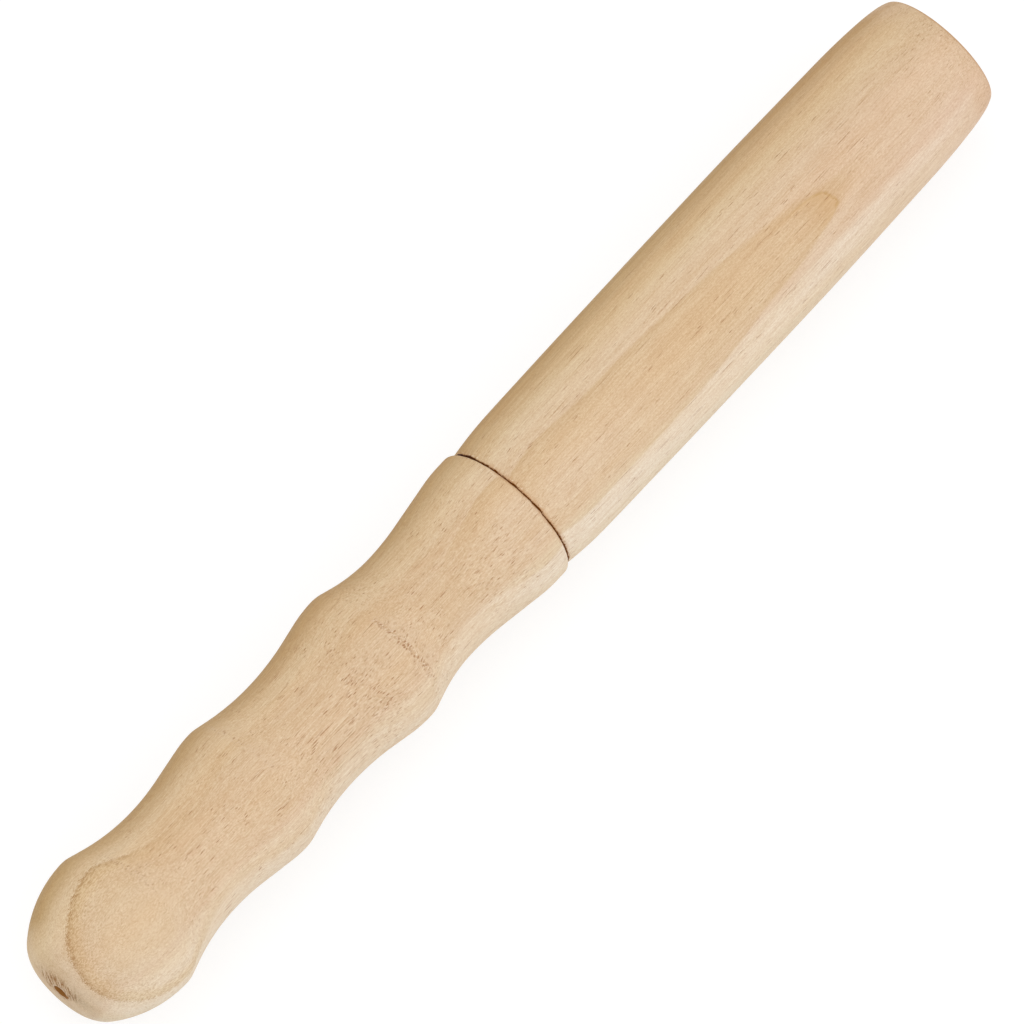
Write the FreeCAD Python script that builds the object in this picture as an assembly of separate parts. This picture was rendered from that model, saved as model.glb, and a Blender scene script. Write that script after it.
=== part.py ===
"""Turned wooden mallet for a singing bowl: a rubbing head glued into a finger-swell grip.

Both pieces are turned from the same pale hardwood. The head is one piece with a round tenon,
the grip has a blind socket for it, and the two shoulders meet at a fine V-shaped score line.

The mallet lies on its side. +X runs along its axis from the rounded butt to the flat tip,
+Z is up, and the origin is on the surface that it lies on, under the middle of its length.
"""
import FreeCAD
import Part
import math
import os

# Lengths are in millimetres and angles in degrees. Places along the axis that end in _at are
# measured from the apex of the butt, and those that end in _on are measured from the joint.
GRIP_LENGTH = 122.0
HEAD_LENGTH = 117.8

# Butt: a flat-topped dome that swells to the largest diameter of the mallet.
BUTT_SWELL_AT = 17.3
BUTT_SWELL_DIAMETER = 30.9
BUTT_SWELL_FORE_RADIUS = 5.2
BUTT_CAP_RADIUS = 33.5
BUTT_KNUCKLE_RADIUS = 7.0
BUTT_SIDE_RADIUS = 23.2

# Pit that the lathe's centre leaves in the butt.
CENTRE_PIT_DIAMETER = 2.9
CENTRE_PIT_ANGLE = 60.0

# Finger waists and the swells between them, from the butt to the joint.
WAIST_1_AT = 33.5
WAIST_1_DIAMETER = 25.3
SWELL_2_AT = 50.8
SWELL_2_DIAMETER = 29.1
SWELL_2_AFT_RADIUS = 22.5
SWELL_2_FORE_RADIUS = 7.4
WAIST_2_AT = 65.5
WAIST_2_DIAMETER = 25.25
SWELL_3_AT = 84.3
SWELL_3_DIAMETER = 29.55
SWELL_3_AFT_RADIUS = 27.0
SWELL_3_FORE_RADIUS = 7.3
WAIST_3_AT = 97.75
WAIST_3_DIAMETER = 25.05
SHOULDER_AT = 118.7
SHOULDER_DIAMETER = 29.46
SHOULDER_AFT_RADIUS = 27.0

# How much of the largest arcs that fit each flank is used. The rest of the flank is straight.
FALL_SHARE = 0.975
RISE_1_SHARE = 0.85
RISE_2_SHARE = 0.96
RISE_3_SHARE = 0.79

# Edge of the grip at the joint, and the score line that is cut half into each piece.
RIM_DIAMETER = 27.8
SHOULDER_EDGE_RADIUS = 1.1
SCORE_WIDTH = 0.5
SCORE_DEPTH = 0.35

# Head: a barrel with a rolled-over nose and a flat end.
FOOT_RADIUS = 78.0
BELLY_ON = 68.1
BELLY_DIAMETER = 30.08
BELLY_AFT_RADIUS = 5000.0
BELLY_FORE_RADIUS = 900.0
TAPER_ANGLE = 0.9
NOSE_RADIUS = 142.0
NOSE_ANGLE = 5.35
ROLL_RADIUS = 38.0
ROLL_ANGLE = 11.4
BROW_RADIUS = 10.0
BROW_ANGLE = 24.3
EDGE_RADIUS = 1.0
SQUARE_ANGLE = 90.0

# Tenon on the head and its socket in the grip.
TENON_DIAMETER = 14.0
TENON_LENGTH = 26.0
TENON_CHAMFER = 1.2
TENON_CLEARANCE = 0.1
SOCKET_END_GAP = 1.0
SOCKET_LEAD_IN = 0.6

# Places that follow from the sizes above.
OVERALL_LENGTH = GRIP_LENGTH + HEAD_LENGTH
JOINT_AT = GRIP_LENGTH
BELLY_AT = JOINT_AT + BELLY_ON
AXIS_HEIGHT = max(BUTT_SWELL_DIAMETER, BELLY_DIAMETER) / 2
AXIS = FreeCAD.Vector(1, 0, 0)
FULL_TURN = 360.0


def on_profile(x, radius):
    """Point of a half outline: x along the axis, radius out from it."""
    return FreeCAD.Vector(x, 0, radius)


def line(start, end):
    return Part.LineSegment(start, end).toShape()


def arc(centre, radius, start_angle, end_angle):
    """Arc about centre. Angles are in radians from the outward direction, + towards the tip."""
    def at(angle):
        return centre + on_profile(radius * math.sin(angle), radius * math.cos(angle))
    return Part.Arc(at(start_angle), at((start_angle + end_angle) / 2), at(end_angle)).toShape()


def angle_of(centre, point):
    """Angle of point about centre, from the outward direction, + towards the tip."""
    return math.atan2(point.x - centre.x, point.z - centre.z)


def meetings(centre_a, radius_a, centre_b, radius_b):
    """The two points where two circles cross."""
    apart = centre_b - centre_a
    along = (radius_a ** 2 - radius_b ** 2 + apart.Length ** 2) / (2 * apart.Length)
    across = math.sqrt(radius_a ** 2 - along ** 2)
    unit = apart / apart.Length
    side = on_profile(-unit.z, unit.x)
    return [centre_a + unit * along + side * across, centre_a + unit * along - side * across]


def flank(crest_at, crest_diameter, crest_radius, waist_at, waist_diameter, share):
    """Edges between a crest and a waist, level at both: arc, straight run, arc, from butt to tip."""
    run = abs(waist_at - crest_at)
    rise = (crest_diameter - waist_diameter) / 2
    radii = share * (run ** 2 + rise ** 2) / (2 * rise)
    waist_radius = radii - crest_radius
    straight = math.sqrt(run ** 2 + (radii - rise) ** 2 - radii ** 2)
    steepness = math.atan2(run, radii - rise) - math.atan2(straight, radii)
    turn = math.copysign(steepness, waist_at - crest_at)
    crest_centre = on_profile(crest_at, crest_diameter / 2 - crest_radius)
    waist_centre = on_profile(waist_at, waist_diameter / 2 + waist_radius)
    crest_arc = arc(crest_centre, crest_radius, 0, turn)
    waist_arc = arc(waist_centre, waist_radius, math.pi + turn, math.pi)
    run_edge = line(crest_arc.lastVertex().Point, waist_arc.firstVertex().Point)
    edges = [crest_arc, run_edge, waist_arc]
    return edges if waist_at > crest_at else edges[::-1]


def dome_edges():
    """Cap, knuckle and side arcs of the butt, each tangent to the next, from the apex to the swell."""
    cap_centre = on_profile(BUTT_CAP_RADIUS, 0)
    side_centre = on_profile(BUTT_SWELL_AT, BUTT_SWELL_DIAMETER / 2 - BUTT_SIDE_RADIUS)
    knuckle_centre = max(meetings(cap_centre, BUTT_CAP_RADIUS - BUTT_KNUCKLE_RADIUS,
                                  side_centre, BUTT_SIDE_RADIUS - BUTT_KNUCKLE_RADIUS),
                         key=lambda point: point.z)
    cap_end = angle_of(cap_centre, knuckle_centre)
    side_start = angle_of(side_centre, knuckle_centre)
    return [arc(cap_centre, BUTT_CAP_RADIUS, -math.pi / 2, cap_end),
            arc(knuckle_centre, BUTT_KNUCKLE_RADIUS, cap_end, side_start),
            arc(side_centre, BUTT_SIDE_RADIUS, side_start, 0)]


def rim_edges():
    """Level top of the shoulder, its rounded edge and the score line's near wall."""
    top = SHOULDER_DIAMETER / 2
    turn = math.acos(1 - (top - RIM_DIAMETER / 2) / SHOULDER_EDGE_RADIUS)
    edge_at = JOINT_AT - SCORE_WIDTH / 2 - SHOULDER_EDGE_RADIUS * math.sin(turn)
    rounding = arc(on_profile(edge_at, top - SHOULDER_EDGE_RADIUS), SHOULDER_EDGE_RADIUS, 0, turn)
    return [line(on_profile(SHOULDER_AT, top), rounding.firstVertex().Point),
            rounding,
            line(rounding.lastVertex().Point, score_bottom())]


def score_bottom():
    return on_profile(JOINT_AT, RIM_DIAMETER / 2 - SCORE_DEPTH)


def foot_edges():
    """Score line's far wall, the long arc that swells out of it, and the barrel up to its belly."""
    lip = on_profile(JOINT_AT + SCORE_WIDTH / 2, RIM_DIAMETER / 2)
    belly_centre = on_profile(BELLY_AT, BELLY_DIAMETER / 2 - BELLY_AFT_RADIUS)
    foot_centre = max(meetings(lip, FOOT_RADIUS, belly_centre, BELLY_AFT_RADIUS - FOOT_RADIUS),
                      key=lambda point: point.x)
    foot_end = angle_of(belly_centre, foot_centre)
    return [line(score_bottom(), lip),
            arc(foot_centre, FOOT_RADIUS, angle_of(foot_centre, lip), foot_end),
            arc(belly_centre, BELLY_AFT_RADIUS, foot_end, 0)]


def nose_edges():
    """Barrel's taper and the arcs, each tighter than the last, that roll over to the flat end."""
    bends = [(BELLY_FORE_RADIUS, TAPER_ANGLE), (NOSE_RADIUS, NOSE_ANGLE), (ROLL_RADIUS, ROLL_ANGLE),
             (BROW_RADIUS, BROW_ANGLE), (EDGE_RADIUS, SQUARE_ANGLE)]
    nose_length = 0
    start = math.radians(TAPER_ANGLE)
    for radius, end_degrees in bends[1:]:
        nose_length += radius * (math.sin(math.radians(end_degrees)) - math.sin(start))
        start = math.radians(end_degrees)
    edges = []
    point = on_profile(BELLY_AT, BELLY_DIAMETER / 2)
    start = 0
    for radius, end_degrees in bends:
        end = math.radians(end_degrees)
        centre = point - on_profile(radius * math.sin(start), radius * math.cos(start))
        edges.append(arc(centre, radius, start, end))
        point = edges[-1].lastVertex().Point
        if start == 0:
            run = OVERALL_LENGTH - nose_length - point.x
            taper_end = point + on_profile(run, -run * math.tan(end))
            edges.append(line(point, taper_end))
            point = taper_end
        start = end
    return edges


def turned(edges):
    """Solid that a half outline sweeps out about the axis. Its two ends are closed to the axis."""
    first = edges[0].firstVertex().Point
    last = edges[-1].lastVertex().Point
    closed = list(edges)
    if last.z > 0:
        closed.append(line(last, on_profile(last.x, 0)))
    closed.append(line(on_profile(last.x, 0), on_profile(first.x, 0)))
    if first.z > 0:
        closed.append(line(on_profile(first.x, 0), first))
    face = Part.Face(Part.Wire(closed))
    return face.revolve(FreeCAD.Vector(), AXIS, FULL_TURN)


def laid_down(solid):
    """The piece in the part's own frame, lying on its side."""
    solid.translate(FreeCAD.Vector(-OVERALL_LENGTH / 2, 0, AXIS_HEIGHT))
    return solid


def make_grip():
    edges = dome_edges()
    edges += flank(BUTT_SWELL_AT, BUTT_SWELL_DIAMETER, BUTT_SWELL_FORE_RADIUS,
                   WAIST_1_AT, WAIST_1_DIAMETER, FALL_SHARE)
    edges += flank(SWELL_2_AT, SWELL_2_DIAMETER, SWELL_2_AFT_RADIUS,
                   WAIST_1_AT, WAIST_1_DIAMETER, RISE_1_SHARE)
    edges += flank(SWELL_2_AT, SWELL_2_DIAMETER, SWELL_2_FORE_RADIUS,
                   WAIST_2_AT, WAIST_2_DIAMETER, FALL_SHARE)
    edges += flank(SWELL_3_AT, SWELL_3_DIAMETER, SWELL_3_AFT_RADIUS,
                   WAIST_2_AT, WAIST_2_DIAMETER, RISE_2_SHARE)
    edges += flank(SWELL_3_AT, SWELL_3_DIAMETER, SWELL_3_FORE_RADIUS,
                   WAIST_3_AT, WAIST_3_DIAMETER, FALL_SHARE)
    edges += flank(SHOULDER_AT, SHOULDER_DIAMETER, SHOULDER_AFT_RADIUS,
                   WAIST_3_AT, WAIST_3_DIAMETER, RISE_3_SHARE)
    edges += rim_edges()
    return laid_down(turned(edges).cut(socket()).cut(centre_pit()))


def socket():
    """Blind hole for the tenon, with a lead-in at its mouth."""
    radius = TENON_DIAMETER / 2 + TENON_CLEARANCE
    bottom_at = JOINT_AT - TENON_LENGTH - SOCKET_END_GAP
    mouth = on_profile(JOINT_AT, radius + SOCKET_LEAD_IN)
    throat = on_profile(JOINT_AT - SOCKET_LEAD_IN, radius)
    bottom = on_profile(bottom_at, radius)
    return turned([line(bottom, throat), line(throat, mouth)])


def centre_pit():
    """Cone of the lathe's centre, whose rim lies on the dome of the butt."""
    radius = CENTRE_PIT_DIAMETER / 2
    rim_at = BUTT_CAP_RADIUS - math.sqrt(BUTT_CAP_RADIUS ** 2 - radius ** 2)
    depth = radius / math.tan(math.radians(CENTRE_PIT_ANGLE / 2))
    return turned([line(on_profile(0, radius), on_profile(rim_at, radius)),
                   line(on_profile(rim_at, radius), on_profile(rim_at + depth, 0))])


def make_head():
    barrel = turned(foot_edges() + nose_edges())
    return laid_down(barrel.fuse(tenon()).removeSplitter())


def tenon():
    """Round tenon with a chamfered end. It starts at the joint, on the barrel's shoulder."""
    radius = TENON_DIAMETER / 2
    end_at = JOINT_AT - TENON_LENGTH
    nose = on_profile(end_at, radius - TENON_CHAMFER)
    side = on_profile(end_at + TENON_CHAMFER, radius)
    return turned([line(nose, side), line(side, on_profile(JOINT_AT, radius))])


def main():
    os.makedirs("parts", exist_ok=True)
    for name, make in (("grip", make_grip), ("head", make_head)):
        make().exportStep(os.path.join("parts", name + ".step"))


main()
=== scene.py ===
"""Turned wooden mallet for a singing bowl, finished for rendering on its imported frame.

The grip and the head are turned by one Geometry Nodes tree from half outlines of tangent arcs,
and share one solid wood: growth rings about a pith line behind the axis, fibres and pores.
Lengths are in metres. The axis lies along X, from the butt at -X to the flat tip at +X.
"""
import math

import bpy
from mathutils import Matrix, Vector


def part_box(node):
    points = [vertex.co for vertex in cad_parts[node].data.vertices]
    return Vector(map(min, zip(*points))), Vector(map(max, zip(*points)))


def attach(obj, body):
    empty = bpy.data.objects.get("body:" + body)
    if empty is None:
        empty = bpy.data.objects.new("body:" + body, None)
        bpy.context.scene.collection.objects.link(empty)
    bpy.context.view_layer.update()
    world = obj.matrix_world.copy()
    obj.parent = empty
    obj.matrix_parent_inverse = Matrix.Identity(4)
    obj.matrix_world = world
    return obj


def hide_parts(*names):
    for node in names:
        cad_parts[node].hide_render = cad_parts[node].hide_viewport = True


bl_info = {
    "name": "Singing Bowl Mallet",
    "version": (1, 0, 0),
    "blender": (4, 5, 0),
    "location": "View3D > Sidebar > Mallet",
    "description": "Turns a pale wooden mallet for singing bowls and sets it on a white table",
    "category": "Object",
}

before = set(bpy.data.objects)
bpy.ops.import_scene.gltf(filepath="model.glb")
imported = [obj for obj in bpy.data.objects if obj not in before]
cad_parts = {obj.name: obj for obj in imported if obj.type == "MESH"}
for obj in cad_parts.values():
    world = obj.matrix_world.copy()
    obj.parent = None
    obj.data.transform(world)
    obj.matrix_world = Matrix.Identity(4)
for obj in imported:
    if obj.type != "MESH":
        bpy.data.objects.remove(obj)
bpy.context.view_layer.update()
GRIP_LOW, GRIP_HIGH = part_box("grip")
HEAD_LOW, HEAD_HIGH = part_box("head")
MM = 0.001


def size(name, description, default):
    return bpy.props.FloatProperty(
        name=name, description=description, default=default, min=0.0, precision=5, unit="LENGTH")


def share(name, description, default):
    return bpy.props.FloatProperty(
        name=name, description=description, default=default, min=0.0, max=1.0, subtype="FACTOR")


def place(name, description, default):
    return bpy.props.FloatProperty(
        name=name, description=description, default=default, precision=5, unit="LENGTH")


def turn(name, description, default):
    return bpy.props.FloatProperty(
        name=name, description=description, default=default, unit="ROTATION")


def point(name, description, default):
    return bpy.props.FloatVectorProperty(
        name=name, description=description, default=default, size=3, precision=5,
        subtype="TRANSLATION")


def amount(name, description, default):
    return bpy.props.FloatProperty(name=name, description=description, default=default, min=0.0)


def colour(name, description, default):
    return bpy.props.FloatVectorProperty(
        name=name, description=description, default=default, size=3, min=0.0, max=1.0,
        subtype="COLOR_GAMMA")


class MalletGrip(bpy.types.PropertyGroup):
    """Sizes of the grip. Places are measured along the axis from the apex of the butt."""
    length: size("Length", "From the apex of the butt to the joint", 122.0 * MM)
    butt_at: size("Butt swell at", "Place of the butt's largest diameter", 17.3 * MM)
    butt_diameter: size("Butt diameter", "Largest diameter of the mallet", 30.9 * MM)
    butt_fore_radius: size("Butt fore radius", "Arc on the side of the first waist", 5.2 * MM)
    cap_radius: size("Cap radius", "Flat dome over the end of the butt", 33.5 * MM)
    knuckle_radius: size("Knuckle radius", "Arc that turns the dome down", 7.0 * MM)
    side_radius: size("Side radius", "Arc from the knuckle to the butt's swell", 23.2 * MM)
    pit_diameter: size("Centre pit", "Mouth of the pit left by the lathe's centre", 2.9 * MM)
    pit_angle: turn("Pit angle", "Full angle of the lathe's centre", math.radians(60))
    wrinkle_depth: size("Wrinkles", "Depth of the torn fibres round the pit", 0.08 * MM)
    wrinkle_reach: size("Wrinkle reach", "How far from the axis the fibres are torn", 4.6 * MM)
    waist_1_at: size("Waist 1 at", "Place of the waist for the little finger", 33.5 * MM)
    waist_1_diameter: size("Waist 1", "Diameter there", 25.3 * MM)
    swell_2_at: size("Swell 2 at", "Place of the second swell", 50.8 * MM)
    swell_2_diameter: size("Swell 2", "Diameter there", 29.1 * MM)
    swell_2_aft_radius: size("Swell 2 aft radius", "Arc on the butt's side", 22.5 * MM)
    swell_2_fore_radius: size("Swell 2 fore radius", "Arc on the head's side", 7.4 * MM)
    waist_2_at: size("Waist 2 at", "Place of the middle waist", 65.5 * MM)
    waist_2_diameter: size("Waist 2", "Diameter there", 25.25 * MM)
    swell_3_at: size("Swell 3 at", "Place of the third swell", 84.3 * MM)
    swell_3_diameter: size("Swell 3", "Diameter there", 29.55 * MM)
    swell_3_aft_radius: size("Swell 3 aft radius", "Arc on the butt's side", 27.0 * MM)
    swell_3_fore_radius: size("Swell 3 fore radius", "Arc on the head's side", 7.3 * MM)
    waist_3_at: size("Waist 3 at", "Place of the waist for the forefinger", 97.75 * MM)
    waist_3_diameter: size("Waist 3", "Diameter there", 25.05 * MM)
    shoulder_at: size("Shoulder at", "Where the shoulder runs level", 118.7 * MM)
    shoulder_diameter: size("Shoulder", "Diameter of the shoulder", 29.46 * MM)
    shoulder_aft_radius: size("Shoulder aft radius", "Arc that leads up to it", 27.0 * MM)
    shoulder_edge_radius: size("Shoulder edge", "Rounding at the joint", 1.1 * MM)
    fall_share: share("Fall", "Share of the flanks' largest arcs on falling flanks", 0.975)
    rise_1_share: share("Rise 1", "The same from waist 1 to swell 2", 0.85)
    rise_2_share: share("Rise 2", "The same from waist 2 to swell 3", 0.96)
    rise_3_share: share("Rise 3", "The same from waist 3 to the shoulder", 0.79)


class MalletJoint(bpy.types.PropertyGroup):
    """Sizes of the tenon joint and of the scorched line that is scored round it."""
    rim_diameter: size("Rim", "Diameter of both pieces at the scored line", 27.8 * MM)
    score_width: size("Score width", "Width of the scored line", 0.5 * MM)
    score_depth: size("Score depth", "Depth of the scored line", 0.35 * MM)
    score_wander: size("Score wander", "How far the line strays along the axis", 0.22 * MM)
    score_jog: size("Score jog", "Step where the ends of the line pass each other", 0.12 * MM)
    wander_reach: size("Wander reach", "How far from the line its straying dies out", 2.5 * MM)
    tenon_diameter: size("Tenon", "Diameter of the head's tenon", 14.0 * MM)
    tenon_length: size("Tenon length", "Length of the head's tenon", 26.0 * MM)
    tenon_chamfer: size("Tenon chamfer", "Chamfer at the end of the tenon", 1.2 * MM)
    tenon_clearance: size("Tenon clearance", "Glue gap round the tenon", 0.1 * MM)
    socket_end_gap: size("Socket end gap", "Gap past the end of the tenon", 1.0 * MM)
    socket_lead_in: size("Socket lead-in", "Chamfer at the mouth of the socket", 0.6 * MM)


class MalletHead(bpy.types.PropertyGroup):
    """Sizes of the head. Places are measured along the axis from the joint."""
    length: size("Length", "From the joint to the flat tip", 117.8 * MM)
    foot_radius: size("Foot radius", "Arc that swells out of the joint", 78.0 * MM)
    belly_on: size("Belly on", "Place of the head's largest diameter", 68.1 * MM)
    belly_diameter: size("Belly", "Largest diameter of the head", 30.08 * MM)
    belly_aft_radius: size("Belly aft radius", "Arc on the joint's side", 5000.0 * MM)
    belly_fore_radius: size("Belly fore radius", "Arc on the tip's side", 900.0 * MM)
    taper_angle: turn("Taper", "Slope where the barrel runs straight", math.radians(0.9))
    nose_radius: size("Nose radius", "First arc towards the tip", 142.0 * MM)
    nose_angle: turn("Nose angle", "Slope at its end", math.radians(5.35))
    roll_radius: size("Roll radius", "Second arc towards the tip", 38.0 * MM)
    roll_angle: turn("Roll angle", "Slope at its end", math.radians(11.4))
    brow_radius: size("Brow radius", "Third arc towards the tip", 10.0 * MM)
    brow_angle: turn("Brow angle", "Slope at its end", math.radians(24.3))
    edge_radius: size("Edge radius", "Rounded edge of the flat tip", 1.0 * MM)


class MalletFinish(bpy.types.PropertyGroup):
    """Fineness of the turned surface and colours of the wood."""
    segments: bpy.props.IntProperty(
        name="Segments", description="Faces round each piece", default=192, min=24, max=360)
    station_spacing: size("Station spacing", "Longest step along the outline", 0.55 * MM)
    wobble: size("Wobble", "How far hand sanding strays from round", 0.06 * MM)
    wood: colour("Wood", "Middle tone of the pale wood", (0.940, 0.859, 0.745))
    pore: colour("Pores", "Vessel lines and specks", (0.630, 0.425, 0.265))
    scorch: colour("Scorch", "Floor of the scored line", (0.480, 0.275, 0.030))
    halo: colour("Halo", "Wood browned by the scorched line", (0.740, 0.535, 0.335))
    stain: colour("Stain", "Tint of the bruised fibres round the pit", (0.670, 0.510, 0.230))
    # Darker grey tone, painted in a streak beside the pit.
    darker_patch: colour("Smudge", "Grey smudge beside the pit", (0.620, 0.540, 0.430))
    # This pale colour is also painted as highlights on the lips of the torn fibres in the torn
    # lines.
    lip: colour("Pit lip", "Polished lip of the pit", (0.970, 0.900, 0.800))
    # Dark brown of the pit's wall and its crack, partly painted shade inside them.
    pit: colour("Pit", "Wall of the pit of the lathe's centre", (0.610, 0.410, 0.190))


class MalletWood(bpy.types.PropertyGroup):
    """Grain of the billet. Its pith line runs behind the mallet's axis, a little askew."""
    pith_aside: place("Pith aside", "Where the pith passes the middle, sideways", 20.05 * MM)
    pith_height: place("Pith height", "Where the pith passes the middle, upwards", -21.05 * MM)
    lean_aside: share("Lean aside", "Sideways drift of the pith along the axis", 0.0071)
    lean_up: share("Lean up", "Rise of the pith along the axis", 0.0269)
    ring_waves: size("Ring waves", "How far the growth rings stray", 1.6 * MM)
    wave_length: size("Wave length", "Reach of the rings' waves along the grain", 60.0 * MM)
    wave_width: size("Wave width", "Reach of the rings' waves across the grain", 11.0 * MM)
    ring_fray: size("Ring fray", "Raggedness of the rings on the butt", 1.7 * MM)
    tip_reach: size("Tip reach", "How far the smoother grain of the tip reaches", 34.0 * MM)
    warm_reach: size("Warm reach", "How far the warmer wood of the tip reaches", 65.0 * MM)
    warm_from: size("Warm from", "Where it is at its warmest, from the tip", 24.0 * MM)
    tip_grain: share("Tip grain", "Strength of strands and vessels at the tip", 0.85)
    faint_rings: share("Faint rings", "Strength of the ring tones between butt and joint", 0.3)
    butt_grain: share("Butt grain", "Strength of strands and vessels on the butt", 0.35)
    bruise_length: size("Bruise length", "Length of the torn strokes beside the pit", 2.8 * MM)
    bruise_width: size("Bruise width", "Spacing of the torn strokes beside the pit", 0.50 * MM)
    bruise_reach: size("Bruise reach", "How far the longest torn strokes reach", 7.4 * MM)
    # Reach of the darker grey streak painted beside the pit.
    darker_patch_reach: size("Smudge reach", "How far the smudge beside the pit reaches", 8.5 * MM)
    speck_length: size("Speck length", "Length of the specks in the end grain", 0.9 * MM)
    speck_width: size("Speck width", "Width of the specks in the end grain", 0.27 * MM)
    speck_reach: size("Speck reach", "How far they crowd behind the ring on the butt", 5.0 * MM)
    ring_line: size("Ring line", "Width of the dark line of that ring", 0.55 * MM)
    ring_width: size("Ring width", "Growth of one season", 1.45 * MM)
    fibre_length: size("Fibre length", "Length of the short fibres", 0.45 * MM)
    fibre_width: size("Fibre width", "Width of the fibres", 0.17 * MM)
    strand_length: size("Strand length", "Length of the long fibres", 6.0 * MM)
    strand_width: size("Strand width", "Width of the long fibres", 0.20 * MM)
    streak_length: size("Streak length", "Length of the broad streaks", 46.0 * MM)
    streak_width: size("Streak width", "Width of the broad streaks", 1.2 * MM)
    patch_length: size("Patch length", "Length of the warmer patches", 55.0 * MM)
    patch_width: size("Patch width", "Width of the warmer patches", 9.0 * MM)
    pore_length: size("Pore length", "Spacing of the vessels along the grain", 3.1 * MM)
    pore_width: size("Pore width", "Spacing of the vessels across the grain", 0.30 * MM)
    vein_length: size("Vein length", "Spacing of the long vessels along the grain", 9.0 * MM)
    vein_width: size("Vein width", "Spacing of the long vessels across the grain", 0.30 * MM)
    crowd_length: size("Crowd length", "Length of the groups of vessels", 16.0 * MM)
    crowd_width: size("Crowd width", "Width of the groups of vessels", 5.0 * MM)
    ripple_length: size("Ripple length", "Spacing of the ripples along the grain", 1.5 * MM)
    ripple_width: size("Ripple width", "Spacing of the ripples across the grain", 2.2 * MM)
    crack_length: size("Crack length", "Torn end of the pit's mouth", 0.55 * MM)
    crack_width: size("Crack width", "Width of that torn end", 1.9 * MM)
    tear_at: size("Torn line at", "Torn grain beyond the third swell, from the butt", 86.4 * MM)
    tear_width: size("Torn line width", "Width of the torn grain", 1.4 * MM)
    tear_reach: size("Torn line reach", "How far it runs to either side", 9.0 * MM)
    tear_aside: size("Torn line aside", "Its middle, towards the pale side", 3.0 * MM)
    tear_length: size("Tear length", "Spacing of its torn fibres along the grain", 1.1 * MM)
    tear_gap: size("Tear gap", "Spacing of its torn fibres across the grain", 0.42 * MM)
    rough_at: size("Rough at", "Grain torn up ahead of the third swell, from the butt", 70.0 * MM)
    rough_reach: size("Rough reach", "How far it is torn up to either side", 14.0 * MM)
    rough_shoulder_at: size("Rough shoulder at", "Grain torn up on the shoulder", 108.0 * MM)
    rough_length: size("Rough length", "Spacing of the torn strokes along the grain", 7.5 * MM)
    rough_width: size("Rough width", "Spacing of the torn strokes across the grain", 0.26 * MM)
    pore_share: share("Pore share", "Reach of a vessel in its cell of the grain", 0.34)
    stroke_share: share("Stroke share", "The same for the torn strokes", 0.45)
    tear_share: share("Tear share", "The same for the fibres of the torn line", 0.54)
    faint_tear_1_at: size("Faint tear 1 at", "Torn grain beyond the butt's swell", 22.0 * MM)
    faint_tear_1_aside: place("Faint tear 1 aside", "Its middle", -3.5 * MM)
    faint_tear_2_at: size("Faint tear 2 at", "Torn grain beyond the second swell", 53.3 * MM)
    faint_tear_2_aside: place("Faint tear 2 aside", "Its middle", -6.0 * MM)
    faint_tear_reach: size("Faint tear reach", "How far both run to either side", 8.5 * MM)
    faint_tear_share: share("Faint tear share", "Their strength beside the third one's", 0.4)
    tear_slope: share("Torn line slope", "How far it runs askew", 0.06)
    peak_from_tip: size("Flame peak from tip", "Flat end to the peak of the flame", 38.2 * MM)
    peak_aside: place("Flame peak aside", "Its middle", 3.6 * MM)
    peak_reach: size("Flame peak reach", "How far its edge runs to either side", 3.4 * MM)
    peak_drop: size("Flame peak drop", "How far its sides run back", 8.4 * MM)
    peak_skew: share("Flame peak skew", "How far the peak leans", 0.3)
    peak_line: size("Flame peak line", "Width of its dark edge", 0.34 * MM)
    rim_width: size("Rim width", "Polished brown edge of the flat tip", 0.35 * MM)


class MalletStage(bpy.types.PropertyGroup):
    """Camera, table and lamps."""
    azimuth: turn("Azimuth", "Camera's turn about the vertical", math.radians(-49.13))
    elevation: turn("Elevation", "Camera's height above the horizon", math.radians(67.91))
    view_width: size("View width", "Width that the picture covers at the mallet", 182.82 * MM)
    focal_length: amount("Focal length", "Camera's focal length in millimetres", 1600.0)
    film_width: amount("Film width", "Width of the camera's film in millimetres", 36.0)
    clip_end: size("Clip end", "How far the camera sees", 40.0)
    target: point("Target", "Point at the centre of the picture",
                  (2.32 * MM, -0.46 * MM, 15.27 * MM))
    key_place: point("Key lamp", "Place of the lamp in front", (0.2, -1.1, 0.12))
    key_size: size("Key lamp size", "Side of the lamp in front", 0.8)
    key_power: amount("Key lamp power", "Its power in watts", 2.6)
    top_place: point("Top lamp", "Place of the lamp above and behind", (-0.2, 0.5, 1.1))
    top_size: size("Top lamp size", "Side of the lamp above", 1.1)
    top_power: amount("Top lamp power", "Its power in watts", 2.1)
    sky_front_share: share("Sky in front", "Strength of the sky's light from the front", 0.98)
    sky_back_share: share("Sky behind", "Strength of the sky's light from behind", 0.68)
    table_size: size("Table", "Side of the white table", 6.0)
    table_share: share("Table", "Tone of the table for the light that it sends on", 0.68)
    table_seen_share: share("Table seen", "Tone of the table as the camera sees it", 0.32)
    table_glow_share: share("Table glow", "White that the camera sees besides", 0.76)


def arc_points(centre, radius, start, end, spacing):
    """Points of an arc. Angles run from the outward direction, + towards the tip."""
    steps = max(2, math.ceil(abs(end - start) * max(radius / spacing, 9.0)))
    angles = [start + (end - start) * step / steps for step in range(steps + 1)]
    return [(centre[0] + radius * math.sin(a), centre[1] + radius * math.cos(a)) for a in angles]


def run_points(start, end, spacing):
    """Points of a straight run."""
    steps = max(1, math.ceil(math.dist(start, end) / spacing))
    return [(start[0] + (end[0] - start[0]) * step / steps,
             start[1] + (end[1] - start[1]) * step / steps) for step in range(steps + 1)]


# Points nearer to each other than this are one.
SAME_POINT = 0.001 * MM


def joined(*runs):
    """One outline from runs that follow each other, without the points that they share."""
    outline = []
    for run in runs:
        for point in run:
            if not outline or math.dist(outline[-1], point) > SAME_POINT:
                outline.append(point)
    return outline


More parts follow.
